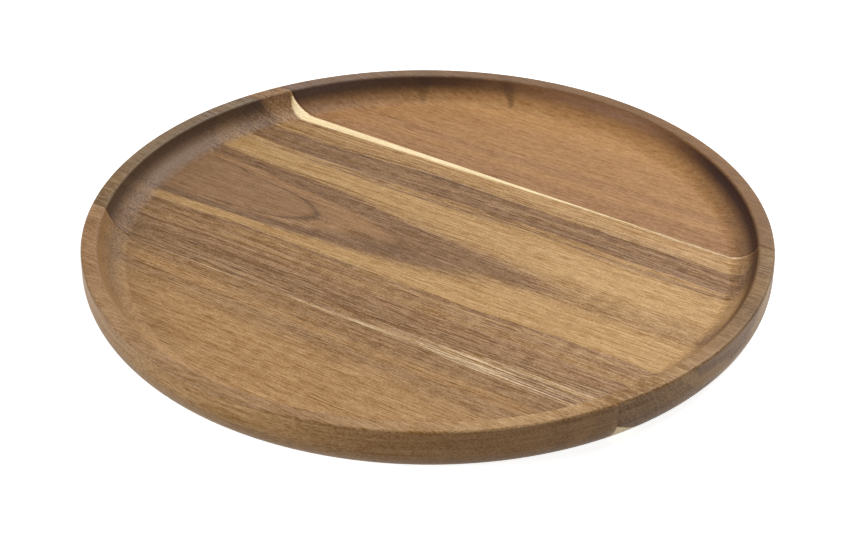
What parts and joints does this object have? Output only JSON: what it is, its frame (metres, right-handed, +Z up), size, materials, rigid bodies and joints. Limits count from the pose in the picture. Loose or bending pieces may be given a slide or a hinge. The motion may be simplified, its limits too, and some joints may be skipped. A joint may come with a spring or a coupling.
{
  "type": "pizza serving board",
  "caption": "Round wooden serving board for pizza, cut from edge-glued staves, with a shallow flat-floored recess, a coved inner wall, a narrow raised rim and a tucked-in under-edge.",
  "frame": {"origin": "centre of the flat base, on the surface that the board stands on", "axes": "+Z up along the axis that the board is turned about, X along the grain and the glue lines, +Y towards the rear stave"},
  "size_m": [0.32, 0.32, 0.02],
  "materials": {
    "rear_wood": "oiled acacia, satin",
    "middle_wood": "oiled acacia, satin",
    "front_wood": "oiled acacia, satin",
    "glue": "cured wood glue, sanded flush"
  },
  "bodies": {
    "root": {"rear_stave": "rear_wood", "middle_stave": "middle_wood", "front_stave": "front_wood", "rear_glue_line": "glue", "front_glue_line": "glue"}
  },
  "joints": []
}
